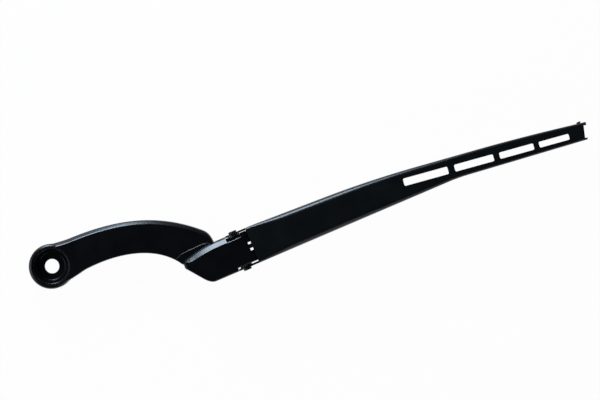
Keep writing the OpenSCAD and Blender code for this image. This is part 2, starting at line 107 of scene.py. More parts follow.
# Where it runs into the boss, the neck widens a little on both sides
outer = [
    (x, y + OUTER_FLARE * max(0.0, 1 - x / OUTER_FLARE_END) ** OUTER_FLARE_CURVE)
    for x, y in long_bend(OUTER_BEND, OUTER_CORNER)
]
inner = [
    (x, y - INNER_FLARE * max(0.0, 1 - ((x - INNER_FLARE_MIDDLE) / INNER_FLARE_HALF) ** 2))
    for x, y in long_bend(INNER_BEND, INNER_CORNER)
]


def ramp(d, width):
    """Zero before the start, a parabola over the width, a straight line after it."""
    return 0.0 if d < 0 else d * d / (2 * width) if d < width else d - width / 2


def quarter(cx, cz, r, start_angle, end_angle, steps=6):
    """Points of a rounded corner in a profile of (radius, height) points."""
    angles = [start_angle + (end_angle - start_angle) * i / steps for i in range(steps + 1)]
    return [
        (cx + r * math.cos(math.radians(a)), cz + r * math.sin(math.radians(a))) for a in angles
    ]


def name_new(name):
    """Gives the object that was just added its name."""
    piece = bpy.context.object
    piece.name = piece.data.name = name
    return piece


def start_edit():
    bpy.ops.object.mode_set(mode="EDIT")
    bpy.ops.mesh.select_all(action="SELECT")


def face_out():
    """Turns every face of the piece in edit mode outwards."""
    bpy.ops.mesh.select_all(action="SELECT")
    bpy.ops.mesh.normals_make_consistent(inside=False)


def leave_edit():
    bpy.ops.object.mode_set(mode="OBJECT")


def loft(name, rings):
    """A closed skin over rings of points, one ring to a station, with its two ends filled."""
    bpy.ops.object.select_all(action="DESELECT")
    stations, corners = len(rings) - 1, len(rings[0])
    bpy.ops.mesh.primitive_grid_add(x_subdivisions=stations, y_subdivisions=corners, size=2)
    piece = name_new(name)
    for vertex in piece.data.vertices:
        i = round((vertex.co.x + 1) / 2 * stations)
        j = round((vertex.co.y + 1) / 2 * corners) % corners
        vertex.co = rings[i][j]
    start_edit()
    bpy.ops.mesh.remove_doubles(threshold=WELD)
    bpy.ops.mesh.select_all(action="SELECT")
    bpy.ops.mesh.fill_holes(sides=0)
    face_out()
    leave_edit()
    return piece


def shoulder(x):
    """The shoulder of the outer bend at x, as (distance in from the edge, fall) points."""
    eased = ramp(x - EASE_START, EASE_BLEND) - ramp(x - EASE_END, EASE_BLEND)
    steep = SHOULDER_STEEP - SHOULDER_EASE * eased
    points = [(SHOULDER_WIDTH - u, steep * ramp(u, SHOULDER_BLEND)) for u in SHOULDER_RUNS]
    foot = points[-1][1]
    return points + [(run, foot + fall) for run, fall in SHOULDER_FOOT]


def neck_block(name, low, top, margin=0.0):
    """The neck between two heights, as wide as the neck is less a margin on both sides."""
    rings = []
    for i, (near, far) in enumerate(zip(inner, outer)):
        near, far = Vector(near), Vector(far)
        along = Vector(outer[min(i + 1, len(outer) - 1)]) - Vector(outer[max(i - 1, 0)])
        inward = Vector((along.y, -along.x)).normalized()
        across = (far - near).normalized()
        near, far = near + across * margin, far + inward * margin
        ring = [(near + across * UNDER_BREAK, low), (near, low + UNDER_BREAK)]
        for run, z in quarter(INNER_ROUND, top - INNER_ROUND, INNER_ROUND, 180, 90, 4):
            ring.append((near + across * run, z))
        ring += [(far + inward * run, top - fall) for run, fall in shoulder(far.x)]
        ring += [(far, low + UNDER_BREAK), (far + inward * UNDER_BREAK, low)]
        rings.append([place(*at, z) for at, z in ring])
    return loft(name, rings)


head = neck_block("wiper_head", NECK_LOW, NECK_TOP)

# ---- Shelf beside the hood ----
# Where the neck runs in under the hood, the casting rises by a low step that crosses the neck in
# line with the hood. The step's upper edge is slightly rounded and catches the light.
SHELF_RISE, SHELF_FOOT = 1.1, 1
# Blocks that are joined are kept this far out of line, so that no two of their faces coincide
HAIR = 0.04
STEP_LINE = (
    (103.5, -40.8), (109.4, -38.3), (114.8, -36.5), (121.8, -36), (129.8, -35.7), (136.8, -35.6),
    (141.3, -36.5), (143.8, -38.7),
)
STEP_BACK = ((143.8, -60), (100, -60))
STEP_ROUND, STEP_FOOT = 0.8, 2
UP = Vector((0, 0, 1))


def blank(name, outline, pull):
    """A flat blank with the outline's corners, pulled into a block. It is left in edit mode."""
    bpy.ops.object.select_all(action="DESELECT")
    bpy.ops.mesh.primitive_circle_add(vertices=len(outline), fill_type="NGON")
    piece = name_new(name)
    for vertex, corner in zip(piece.data.vertices, outline):
        vertex.co = corner
    start_edit()
    bpy.ops.mesh.extrude_region_move(TRANSFORM_OT_translate={"value": pull * MM})
    face_out()
    return piece


def near_line(point, line, reach=0.02):
    return min(math.hypot(point[0] - x, point[1] - y) for x, y in line) < reach


def round_edges(test, radius, segments):
    """Rounds the edges of the piece in edit mode whose two ends pass the test."""
    bpy.ops.mesh.select_mode(type="EDGE")
    bpy.ops.mesh.select_all(action="DESELECT")
    shape = bmesh.from_edit_mesh(bpy.context.object.data)
    for edge in shape.edges:
        if test(edge.verts[0].co / MM, edge.verts[1].co / MM):
            edge.select = True
    shape.select_flush_mode()
    bmesh.update_edit_mesh(bpy.context.object.data)
    bpy.ops.mesh.bevel(offset=radius * MM, segments=segments, affect="EDGES")


def activate(piece):
    bpy.ops.object.select_all(action="DESELECT")
    piece.select_set(True)
    bpy.context.view_layer.objects.active = piece


def apply_step(piece, step):
    """Applies a modifier of a piece."""
    activate(piece)
    bpy.ops.object.modifier_apply(modifier=step.name)


def join(piece, other, operation="UNION"):
    """Joins another block to a piece, or cuts it out of the piece, and removes the other."""
    step = piece.modifiers.new("join", "BOOLEAN")
    step.operation = operation
    step.solver = "MANIFOLD"
    step.object = other
    apply_step(piece, step)
    bpy.data.objects.remove(other, do_unlink=True)


shelf = neck_block("shelf", NECK_LOW + SHELF_FOOT, NECK_TOP + SHELF_RISE, HAIR)
riser = blank(
    "riser",
    [place(x, y, NECK_LOW + STEP_FOOT) for x, y in STEP_LINE + STEP_BACK],
    UP * (NECK_TOP + SHELF_RISE - NECK_LOW - STEP_FOOT - HAIR),
)
round_edges(
    lambda a, b: min(a.z, b.z) > NECK_TOP + BOSS_UNDERSIDE
    and near_line(a, STEP_LINE)
    and near_line(b, STEP_LINE),
    STEP_ROUND,
    3,
)
leave_edit()
join(shelf, riser, "INTERSECT")
join(head, shelf)

# ---- Hood of the casting ----
# The raised block that hides the hinge from above. A broad flat bevel runs along its upper side.
# Its front is slanted to a blunt nose, and its end stands just behind the ears of the channel.
HINGE = Vector((165.8, -55.0, 18.0))
CHANNEL_WIDTH = 34.6
WALL_LOW, WALL_UP = HINGE.y - CHANNEL_WIDTH / 2, HINGE.y + CHANNEL_WIDTH / 2
HOOD_TOP, HOOD_ROUND = 27.0, 1.9
HOOD_END = 157.75
NOSE, NOSE_ROUND = 113.2, 2.4
NOSE_OFFSET, NOSE_LEAD, NOSE_BLEND = 4.8, 2.2, 4
HOOD_SLOPE, FRONT_LEAD, FRONT_BLEND = 1.3, 5.2, 10
HOOD_INSET, HOOD_SLANT, SLANT_END = 0.4, 5.9, 15
HOOD_BEVEL, HOOD_DROP = 4.4, 3.0
BEVEL_NARROWS, BEVEL_LEAST, BEVEL_START, BEVEL_RUN = 0.5, 0.3, 2, 7
CREASE, CREASE_FALL, CREASE_FOOT = 0.3, 0.2, 0.25
HOOD_DRAFT, DRAFT_DROP = 1.4, 2.4
FROM_NOSE = (
    0, 0.25, 0.7, 1.3, 1.9, 2.4, 4, 6, 8, 11, 12.5, 14, 15.5, 17, 18.5, 20, 21.5, 23, 25, 28, 31,
    34, 37.6,
)


def toward_nose(x):
    """Zero at the back of the hood, one at its nose, and slow to start."""
    return (max(0.0, HINGE.x - SLANT_END - x) / (HINGE.x - SLANT_END - NOSE)) ** 2


def hood_upper(x):
    return WALL_UP - HOOD_INSET - HOOD_SLANT * toward_nose(x)


def hood_lower(x):
    front = (CHANNEL_WIDTH / 2 + NOSE_OFFSET) / HOOD_SLOPE
    nose = ramp(x - NOSE + NOSE_LEAD, NOSE_BLEND)
    corner = ramp(x - NOSE - front + FRONT_LEAD, FRONT_BLEND)
    return WALL_LOW + HOOD_SLOPE * (front - nose + corner)


def hood_section(x):
    """The hood cut across at x: lower side, rounded edge, top, bevel, drafted side."""
    low, high = hood_lower(x), hood_upper(x)
    short = NOSE_ROUND - min(NOSE_ROUND, x - NOSE)
    top = HOOD_TOP - NOSE_ROUND + math.sqrt(NOSE_ROUND**2 - short**2)
    out, fall = high - HOOD_DRAFT, top - HOOD_DROP
    grown = max(0.0, x - NOSE - BEVEL_START) / BEVEL_RUN
    bevel = HOOD_BEVEL - BEVEL_NARROWS * toward_nose(x)
    bevel *= min(1.0, BEVEL_LEAST + (1 - BEVEL_LEAST) * grown)
    return [
        (low, NECK_LOW + HAIR),
        *quarter(low + HOOD_ROUND, top - HOOD_ROUND, HOOD_ROUND, 180, 90, 6),
        (out - bevel - CREASE, top),
        (out - bevel + CREASE, top - CREASE_FALL),
        (out - CREASE, fall + CREASE_FALL),
        (out + CREASE_FALL, fall - CREASE_FOOT),
        (high, fall - DRAFT_DROP),
        (high, NECK_LOW + HAIR),
    ]


stations = [NOSE + d for d in FROM_NOSE] + [HOOD_END]
hood = loft("hood", [[place(x, *point) for point in hood_section(x)] for x in stations])
join(head, hood)

# ---- Boss of the casting ----
# The round boss that sits on the tapered spindle. It is turned: a stepped recess takes the nut and
# its washer, and a short land and a taper below it take the spindle.
BOSS_R, BOSS_H, BOSS_ROUND, BOSS_BREAK = 20.8, 20.0 + HAIR, 3.2, 1
RECESS_R, RECESS_BEVEL, BEVEL_DEPTH = 16.3, 1.3, 2.2
SEAT_R, SEAT_Z, STEP_Z = 12.8, 9.0, 13.0
SEAT_FILLET, STEP_BREAK, BORE_BREAK = 0.8, 0.5, 0.4
BORE_R, LAND_Z, TAPER_R = 6.7, 5.0, 7.6
ROUND_STEPS = 96
EAST, NORTH = Vector((1, 0, 0)), Vector((0, 1, 0))


def turned(name, profile, at, axis, across, steps=ROUND_STEPS):
    """Spins a closed profile of (radius, height) points once about an axis through a point."""
    bpy.ops.object.select_all(action="DESELECT")
    bpy.ops.mesh.primitive_circle_add(vertices=len(profile), fill_type="NOTHING")
    piece = name_new(name)
    for vertex, (radius, height) in zip(piece.data.vertices, profile):
        vertex.co = at + (across * radius + axis * height) * MM
    start_edit()
    bpy.ops.mesh.spin(steps=steps, angle=math.tau, use_auto_merge=True, center=at, axis=axis)
    bpy.ops.mesh.select_all(action="SELECT")
    bpy.ops.mesh.remove_doubles(threshold=WELD)
    bpy.ops.mesh.delete_loose()
    face_out()
    leave_edit()
    return piece


boss_profile = [
    (0, 0), (BOSS_R - BOSS_BREAK, 0), (BOSS_R, BOSS_BREAK),
    *quarter(BOSS_R - BOSS_ROUND, BOSS_H - BOSS_ROUND, BOSS_ROUND, 0, 90, 8),
    (0, BOSS_H),
]
join(head, turned("boss", boss_profile, place(0, 0), UP, EAST))

clear_top = BOSS_H + 4
recess_profile = [
    (0, -1), (TAPER_R, -1), (TAPER_R, 0), (BORE_R, LAND_Z), (BORE_R, SEAT_Z - BORE_BREAK),
    (BORE_R + BORE_BREAK, SEAT_Z),
    *quarter(SEAT_R - SEAT_FILLET, SEAT_Z + SEAT_FILLET, SEAT_FILLET, -90, 0, 3),
    (SEAT_R, STEP_Z - STEP_BREAK), (SEAT_R + STEP_BREAK, STEP_Z),
    *quarter(RECESS_R - SEAT_FILLET, STEP_Z + SEAT_FILLET, SEAT_FILLET, -90, 0, 3),
    *quarter(RECESS_R + SEAT_FILLET, BOSS_H - BEVEL_DEPTH, SEAT_FILLET, 180, 130, 3),
    (RECESS_R + RECESS_BEVEL, BOSS_H), (RECESS_R + RECESS_BEVEL, clear_top), (0, clear_top),
]
join(head, turned("recess", recess_profile, place(0, 0), UP, EAST), "DIFFERENCE")

# ---- Tongue of the casting ----
# The forked tongue under the hood carries the hinge. A slot for the spring's link splits it into
# two cheeks, and its nose reaches under the web of the channel as a stop.
SHEET = 1.8
SIDE_GAP = 1.25
TONGUE_WIDTH = CHANNEL_WIDTH - 2 * SHEET - 2 * SIDE_GAP
TONGUE_NOSE, TONGUE_ROUND = 6.3, 1.4
TONGUE_SIDE = (
    (-10, -12.5), (3, -12.5), (9, -10.5), (15.5, -6), (15.5, TONGUE_NOSE), (12.9, TONGUE_NOSE),
    (11.8, 3.4), (9.8, 6.4), (4.8, 9 - HAIR), (-10, 9 - HAIR),
)
FORK_WIDTH = 8.2
FORK_SIDE = ((-9, -13.5), (16.5, -13.5), (16.5, 10), (9.4, 10), (9.4, 5.4), (5, 4.5), (-9, 4.5))
BUSH_R = 3.85
FLANGE_R = 5.6
ANCHOR_BACK, ANCHOR_DROP, ANCHOR_R = 4, 6.5, 2.2
ANCHOR = Vector((HINGE.x - ANCHOR_BACK, HINGE.y, HINGE.z - ANCHOR_DROP))
TONGUE_BEVEL = Vector((0, 0.55, -0.45))
LEDGE, LEDGE_SLANT = HINGE.z + FLANGE_R + 0.1, 0.8
PAD, PAD_ROOT = 0.85, 0.6
# Each pad: its side, where it starts and ends along the arm, and its lowest and highest point
PADS = (
    (1, HOOD_END - 1, 160.1, 13.5, 22.4),
    (1, 171.6, 177.6, 13.5, 21.2),
    (-1, HOOD_END - 1, 158.1, 13.5, 24),
)
HOLE_STEPS = 48


def block(name, outline, pull):
    """A blank that needs no more work in edit mode."""
    piece = blank(name, outline, pull)
    leave_edit()
    return piece


def side_plate(name, outline, low, width):
    """A block with an outline seen from the side, given from the hinge, and its extent in Y."""
    corners = [place(HINGE.x + x, low, HINGE.z + z) for x, z in outline]
    return blank(name, corners, NORTH * width)


def bore(piece, radius, start, length):
    """Bores a round hole along Y through a piece. Like all cutters here, it reaches past it."""
    profile = [(0, 0), (radius, 0), (radius, length), (0, length)]
    bar = turned("bar", profile, place(*start), NORTH, EAST, HOLE_STEPS)
    join(piece, bar, "DIFFERENCE")


tongue = side_plate("tongue", TONGUE_SIDE, HINGE.y - TONGUE_WIDTH / 2, TONGUE_WIDTH)
nose_height = HINGE.z + TONGUE_NOSE + BOSS_UNDERSIDE
round_edges(
    lambda a, b: max(a.y, b.y) < HINGE.y
    and min(a.z, b.z) > nose_height
    and max(a.x, b.x) < HINGE.x + 10,
    TONGUE_ROUND,
    4,
)
# Its upper side is bevelled in line with the hood, down to a narrow ledge over the bush
bevel_from = Vector((0, WALL_UP - HOOD_INSET - HOOD_DRAFT - HOOD_BEVEL - CREASE, HOOD_TOP))
bevel_to = bevel_from + TONGUE_BEVEL
bpy.ops.mesh.select_all(action="SELECT")
bpy.ops.mesh.bisect(
    plane_co=place(*bevel_from), plane_no=EAST.cross(bevel_to - bevel_from),
    use_fill=True, clear_inner=False, clear_outer=True,
)
leave_edit()
ledge_corners = (
    (bevel_to.y, 30), (bevel_to.y, bevel_to.z), (bevel_to.y + LEDGE_SLANT, LEDGE), (-35, LEDGE),
    (-35, 30),
)
ledge = block("ledge", [place(HOOD_END - 5, y, z) for y, z in ledge_corners], EAST * 30)
join(tongue, ledge, "DIFFERENCE")
# Low pads on the two cheeks keep the ears centred and all but close the gap beside the bushes
for side, pad_start, pad_end, low, top in PADS:
    root = HINGE.y + side * (TONGUE_WIDTH / 2 - PAD_ROOT)
    corners = [(pad_start, low), (pad_end, low), (pad_end, top), (pad_start, top)]
    pad = block("pad", [place(x, root, z) for x, z in corners], NORTH * side * (PAD + PAD_ROOT))
    join(tongue, pad)
join(head, tongue)
fork = side_plate("fork", FORK_SIDE, HINGE.y - FORK_WIDTH / 2, FORK_WIDTH)
leave_edit()
join(head, fork, "DIFFERENCE")
bore(head, BUSH_R, HINGE - NORTH * 20, 40)
bore(head, ANCHOR_R, ANCHOR - NORTH * 20, 40)

# ---- Pockets of the casting ----
# The underside of the neck and of the hood is cored out to an even wall, as in any die casting. The
# pockets have rounded corners.
CAST_WALL = 4.0
POCKET_ROUND, POCKET_STEPS = 1.2, 10
# Each pocket of the neck, from share to share of the neck's length
NECK_POCKETS = ((0.3, 0.58), (0.62, 0.96))
POCKET_END = HOOD_END - 5
HOOD_POCKET = (
    (NOSE + 11, HINGE.y + 6), (NOSE + 16, HINGE.y + 9), (POCKET_END, HINGE.y + 10),
    (POCKET_END, WALL_LOW + CAST_WALL), (NOSE + 25, WALL_LOW + CAST_WALL),
    (NOSE + 19, WALL_LOW + CAST_WALL + 4),
)


def bend_between(t, share, margin):
    """A point across the neck at t: share 0 lies on the inner bend and 1 on the outer bend."""
    a, b = Vector(bend_point(INNER_BEND, t)), Vector(bend_point(OUTER_BEND, t))
    return a.lerp(b, share) + (b - a).normalized() * margin


def core_out(outline, top):
    """Cuts a pocket with rounded corners into the underside of the head."""
    pocket = blank("pocket", [place(x, y, -1) for x, y in outline], UP * (top + 1))
    round_edges(lambda a, b: abs(a.z - b.z) > 5, POCKET_ROUND, 3)
    leave_edit()
    join(head, pocket, "DIFFERENCE")


for t0, t1 in NECK_POCKETS:
    ts = [t0 + (t1 - t0) * i / POCKET_STEPS for i in range(POCKET_STEPS + 1)]
    near = [bend_between(t, 0, CAST_WALL) for t in ts]
    far = [bend_between(t, 1, -CAST_WALL - 1) for t in reversed(ts)]
    core_out(near + far, BOSS_H - CAST_WALL)
core_out(HOOD_POCKET, HOOD_TOP - CAST_WALL)

# ---- Paint of the casting ----
# Black powder coat, nearly even, with a soft orange peel and a faint haze of dust. The casting is
# coated all over before the bushes go in.
PAINT_TINT = (0.82, 0.9, 1.0, 1.0)
RELIEF_DEPTH = 0.0002


def smooth(piece, angle=32.0):
    """Smooth shading up to an angle, with flat faces kept flat beside rounded edges."""
    activate(piece)
    bpy.ops.object.shade_smooth_by_angle(angle=math.radians(angle))
    step = piece.modifiers.new("normals", "WEIGHTED_NORMAL")
    step.keep_sharp = True
    apply_step(piece, step)


class Socket:
    """An output of a node. Sums and products of sockets and numbers add Math nodes."""

    def __init__(self, nodes, output):
        self.nodes = nodes
        self.output = output

    def _math(self, operation, a, b):
        return self.nodes.node("ShaderNodeMath", {"operation": operation}, [a, b])

    def __add__(self, other):
        return self._math("ADD", self, other)

    def __radd__(self, other):
        return self._math("ADD", other, self)

    def __mul__(self, other):
        return self._math("MULTIPLY", self, other)

    def __rmul__(self, other):
        return self._math("MULTIPLY", other, self)


class Nodes:
    """The nodes of a material or of the world, which all come from one method."""

    def __init__(self, owner):
        owner.use_nodes = True
        self.tree = owner.node_tree

    def node(self, kind, settings, inputs, output=0):
        """Adds a node. Inputs are a list in order or a dictionary by name."""
        node = self.tree.nodes.new(kind)
        for setting, value in settings.items():
            if setting == "stops":
                for stop, (position, colour) in zip(node.color_ramp.elements, value):
                    stop.position, stop.color = position, (*colour, 1.0)
            else:
                setattr(node, setting, value)
        named = inputs.items() if isinstance(inputs, dict) else enumerate(inputs)
        for key, value in named:
            if isinstance(value, Socket):
                self.tree.links.new(value.output, node.inputs[key])
            else:
                node.inputs[key].default_value = value
        return Socket(self, node.outputs[output])

    def link(self, value, node, socket):
        """Links a socket to an input of a node that every such tree has."""
        self.tree.links.new(value.output, self.tree.nodes[node].inputs[socket])


class Finish(Nodes):
    """A material with a Principled shader."""

    def __init__(self, name, **constants):
        self.material = bpy.data.materials.new(name)
        super().__init__(self.material)
        self.shader = self.tree.nodes["Principled BSDF"]
        for socket, value in constants.items():
            self.shader.inputs[socket.replace("_", " ")].default_value = value
        self.place = self.node("ShaderNodeTexCoord", {}, [], "Object")

    def noise(self, scale, detail=2.0):
        inputs = {"Vector": self.place, "Scale": scale, "Detail": detail}
        return self.node("ShaderNodeTexNoise", {}, inputs)

    def spread(self, value, low, high):
        """The value from low..high brought to 0..1 and held there."""
        return self.node("ShaderNodeMapRange", {}, [value, low, high, 0.0, 1.0])

    def between(self, share, first, second):
        """A colour between two others. Sockets 6 and 7 of the node are its two colours."""
        inputs = {"Factor": share, 6: (*first, 1.0), 7: (*second, 1.0)}
        return self.node("ShaderNodeMix", {"data_type": "RGBA"}, inputs, 2)

    def feed(self, **sockets):
        """Links sockets to the shader's inputs of those names."""
        for name, value in sockets.items():
            self.link(value, self.shader.name, name.replace("_", " "))

    def relief(self, height, strength):
        """Links a height to the shader's normal through a bump."""
        inputs = {"Strength": strength, "Distance": RELIEF_DEPTH, "Height": height}
        self.feed(Normal=self.node("ShaderNodeBump", {}, inputs))


def finish_piece(piece, finish, body, slot, *nodes):
    """Gives a finished piece its material and its place in the frame."""
    piece.data.materials.clear()
    piece.data.materials.append(finish.material)
    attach(piece, body)
    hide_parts(*nodes)


smooth(head)
cast_paint = Finish("cast_paint", Specular_Tint=PAINT_TINT)
mottle = cast_paint.noise(60.0, 3.0)
peel = cast_paint.noise(900.0)
grain = cast_paint.noise(3800.0)
cast_paint.feed(
    Base_Color=cast_paint.between(
        cast_paint.spread(mottle, 0.35, 0.7), (0.0012, 0.0014, 0.0018), (0.0022, 0.0024, 0.003)
    ),
    Roughness=0.24 + 0.05 * cast_paint.spread(mottle, 0.3, 0.7) + 0.04 * grain,
)
cast_paint.relief(peel + 0.35 * grain, 0.05)
finish_piece(head, cast_paint, "head", "cast_head", "head")

# ---- Channel ----
# The arm proper: one strip of steel sheet pressed into a channel. It keeps its width over the
# spring, tapers to the tip, is bowed along its length, and its two folded shoulders are rounded.
WEB_GAP, TIP_REACH = 12.2, 337.3
WEB_START, TIP, RUN_OUT = HINGE.x + WEB_GAP, HINGE.x + TIP_REACH, 6
CHANNEL_STEPS = 60
# Each bend of a wall in plan: where it starts, the length that it takes, and its slope
LOWER_BEND = (HINGE.x + 203, 16, 0.117)
UPPER_BENDS = (
    (WEB_START + 5, 4, 0.038), (HINGE.x + 90, 90, 0.09), (HINGE.x + 235, 80, 0.044),
)
TIP_FALL, BOW = 4.0, 5.0
DEPTH_ROOT, DEPTH_TIP = 19.0, 9.0
DEPTH_START, DEPTH_BLEND = 90, 60
FOLD_TIGHT, FOLD_BROAD, FOLD_STEPS = 2.2, 5.2, 8
FOLD_GROWS, FOLD_SHRINKS = (WEB_START + 4, 30), (HINGE.x + 100, 130)


def wall_low(x):
    start_x, width, slope = LOWER_BEND
    return WALL_LOW - slope * ramp(x - start_x, width)


def wall_up(x):
    return WALL_UP - sum(slope * ramp(x - start_x, width) for start_x, width, slope in UPPER_BENDS)


def web_height(x):
    share = (x - WEB_START) / (TIP - WEB_START)
    return HOOD_TOP - TIP_FALL * share + BOW * 4 * share * (1 - share)


def wall_depth(x):
    run = ramp(x - HINGE.x - DEPTH_START, DEPTH_BLEND)
    whole_run = TIP_REACH - DEPTH_START - DEPTH_BLEND / 2
    return DEPTH_ROOT - (DEPTH_ROOT - DEPTH_TIP) * run / whole_run


def fold(x):
    """The radius of the folded shoulders: tight beside the hinge and over the slots."""
    rise, fall = (
        min(1.0, max(0.0, x - start_x) / run) for start_x, run in (FOLD_GROWS, FOLD_SHRINKS)
    )
    return FOLD_TIGHT + (FOLD_BROAD - FOLD_TIGHT) * min(rise, 1 - fall)


def channel_section(x):
    """The outside of the sheet across the channel at x, up one wall, over the web and down."""
    low, up, z, r = wall_low(x), wall_up(x), web_height(x), fold(x)
    section = [(low, z - wall_depth(x))] + quarter(low + r, z - r, r, 180, 90, FOLD_STEPS)
    return section + quarter(up - r, z - r, r, 90, 0, FOLD_STEPS) + [(up, z - wall_depth(x))]


bpy.ops.object.select_all(action="DESELECT")
rows = 2 * FOLD_STEPS + 3
bpy.ops.mesh.primitive_grid_add(x_subdivisions=CHANNEL_STEPS, y_subdivisions=rows, size=2)
channel = name_new("pressed_channel")
for vertex in channel.data.vertices:
    x = WEB_START + (TIP + RUN_OUT - WEB_START) * (vertex.co.x + 1) / 2
    vertex.co = place(x, *channel_section(x)[round((vertex.co.y + 1) / 2 * rows)])
start_edit()
face_out()
leave_edit()
# The outside of the sheet has to face up before it gets its thickness
top_face = max(channel.data.polygons, key=lambda f: f.area * abs(f.normal.z))
if top_face.normal.z < 0:
    channel.data.flip_normals()
step = channel.modifiers.new("sheet", "SOLIDIFY")
step.thickness = SHEET * MM
step.offset = -1
step.use_even_offset = True
apply_step(channel, step)

# ---- Ears of the channel ----
# The side walls run on past the web as two ears, rounded about the hinge pin.
# A hole through both takes the pin.
EAR_R, EAR_RUN, EAR_TOP, EAR_LOW = 7.7, 17.2, 4.0, -9.8
PIN_R = 3.0
ear_outline = quarter(0, 0, EAR_R, 90, 270, 18) + [
    (WEB_GAP, EAR_LOW), (EAR_RUN, EAR_LOW), (EAR_RUN, EAR_TOP), (WEB_GAP, EAR_TOP),
]
for low in (WALL_LOW, WALL_UP - SHEET):
    ear = side_plate("ear", ear_outline, low, SHEET)
    leave_edit()
    join(channel, ear)
bore(channel, PIN_R, HINGE - NORTH * 20, 40)

# ---- Slots of the channel ----
# Four punched slots in a row near the tip, each a little shorter and narrower than the one before.
# The row follows the taper of the web.
SLOTS, SLOT_START, SLOT_SIDE = 4, 163.0, 0.543
SLOT_LENGTH, SLOT_RATIO = 42.3, 0.88
SLOT_WIDTH, SLOT_STEP = 6.9, 0.5
SLOT_BRIDGE, BRIDGE_STEP = 6.3, 0.55
SLOT_CORNER = 1.2
SLOT_TURN = math.radians(-7.67)


def slot_outline(start_x, length, width):
    """A long slot with rounded corners, in the row."""
    row_start = Vector((HINGE.x + SLOT_START, WALL_UP - CHANNEL_WIDTH * SLOT_SIDE))
    turn = Matrix.Rotation(SLOT_TURN, 2)
    c = SLOT_CORNER
    corners = (
        (length - c, width / 2 - c, 0), (c, width / 2 - c, 90),
        (c, c - width / 2, 180), (length - c, c - width / 2, 270),
    )
    points = []
    for cx, cy, angle in corners:
        points += quarter(start_x + cx, cy, c, angle, angle + 90, 5)
    return [place(*(row_start + turn @ Vector(p)), 14) for p in points]


slot_at = 0.0
for i in range(SLOTS):
    length = SLOT_LENGTH * SLOT_RATIO**i
    cutter = block("slot", slot_outline(slot_at, length, SLOT_WIDTH - SLOT_STEP * i), UP * 30)
    join(channel, cutter, "DIFFERENCE")
    slot_at += length + SLOT_BRIDGE - BRIDGE_STEP * i

# ---- Tip of the channel ----
# The tip is cropped at a slight slant. The web ends a little before the walls, which stand out as
# two short prongs, and a hole in the upper wall takes a stub rivet.
PRONG, PRONG_ROOT, CROP_BACK = 2.4, 0.6, 2.6
TIP_TURN = math.radians(-16.5)
STUB_R, STUB_BACK, STUB_SHARE = 1.5, 1.2, 0.55
RIVET_R, RIVET_REACH, RIVET_DROP = 2.4, 120, 2
RIVET = Vector((HINGE.x + RIVET_REACH, HINGE.y, HINGE.z - RIVET_DROP))
SHEET_BREAK = 0.25


def break_edges(piece, width, angle):
    """Slightly rounds every edge of a piece that is sharper than an angle."""
    step = piece.modifiers.new("edges", "BEVEL")
    step.width = width * MM
    step.segments = 2
    step.limit_method = "ANGLE"
    step.angle_limit = math.radians(angle)
    apply_step(piece, step)


tip_middle = Vector((TIP - CROP_BACK, (wall_low(TIP) + wall_up(TIP)) / 2))
tip_width = wall_up(TIP) - wall_low(TIP)
turn = Matrix.Rotation(TIP_TURN, 2)
for start_x, half_width in ((PRONG, 30), (0, tip_width / 2 - SHEET - PRONG_ROOT)):
    end_x = start_x + 30
    corners = (
        (start_x, -half_width), (end_x, -half_width), (end_x, half_width), (start_x, half_width),
    )
    outline = [place(*(tip_middle + turn @ Vector(c)), 5) for c in corners]
    join(channel, block("crop", outline, UP * 40), "DIFFERENCE")
stub = Vector((tip_middle.x - STUB_BACK, tip_middle.y, web_height(TIP) - DEPTH_TIP * STUB_SHARE))
bore(channel, STUB_R, stub, 30)
bore(channel, RIVET_R, RIVET - NORTH * 30, 60)
# Every cut edge of the sheet is slightly rounded by the press tool and the paint
break_edges(channel, SHEET_BREAK, 50)
smooth(channel)

sheet_paint = Finish("sheet_paint", Specular_Tint=PAINT_TINT)
mottle = sheet_paint.noise(45.0, 3.0)
peel = sheet_paint.noise(1300.0)
sheet_paint.feed(
    Base_Color=sheet_paint.between(
        sheet_paint.spread(mottle, 0.35, 0.7), (0.0028, 0.0036, 0.0044), (0.0044, 0.0054, 0.0064)
    ),
    Roughness=0.3 + 0.05 * sheet_paint.spread(mottle, 0.3, 0.7),
)
sheet_paint.relief(peel, 0.05)
finish_piece(channel, sheet_paint, "arm", "painted_steel", "arm_channel")

# ---- Hinge pin and bushes ----
# A steel pin through ears and tongue, riveted over at both ends in a low spun head. It turns in two
# flanged bushes of sintered bronze, whose flanges keep the ears off the casting.
PIN_HEAD_R, PIN_HEAD, PIN_ROUND = 3.9, 2.0, 0.9
DIMPLE_R, DIMPLE_EDGE, DIMPLE = 1.0, 1.5, 0.25
BUSH_PLAY, BUSH_BREAK = 0.05, 0.25
FLANGE, FLANGE_BREAK = 1.15, 0.15

half = CHANNEL_WIDTH / 2
end = -half - PIN_HEAD
pin_profile = [
    (0, end + DIMPLE), (DIMPLE_R, end + DIMPLE), (DIMPLE_EDGE, end),
    *quarter(PIN_HEAD_R - PIN_ROUND, end + PIN_ROUND, PIN_ROUND, -90, 0, 5),
    (PIN_HEAD_R, -half), (PIN_R, -half),
]
pin_profile += [(r, -h) for r, h in reversed(pin_profile)]
pin = turned("hinge_rivet", pin_profile, place(*HINGE), NORTH, EAST, HOLE_STEPS)
smooth(pin)

pin_paint = Finish("pin_paint", Specular_Tint=PAINT_TINT)
rub = pin_paint.noise(700.0, 4.0)
pin_paint.feed(
    Base_Color=pin_paint.between(
        pin_paint.spread(rub, 0.55, 0.8), (0.006, 0.0065, 0.0075), (0.02, 0.02, 0.022)
    ),
    Roughness=0.3 + 0.15 * rub,
)
pin_paint.relief(rub, 0.12)
finish_piece(pin, pin_paint, "arm", "painted_steel", "hinge_pin")

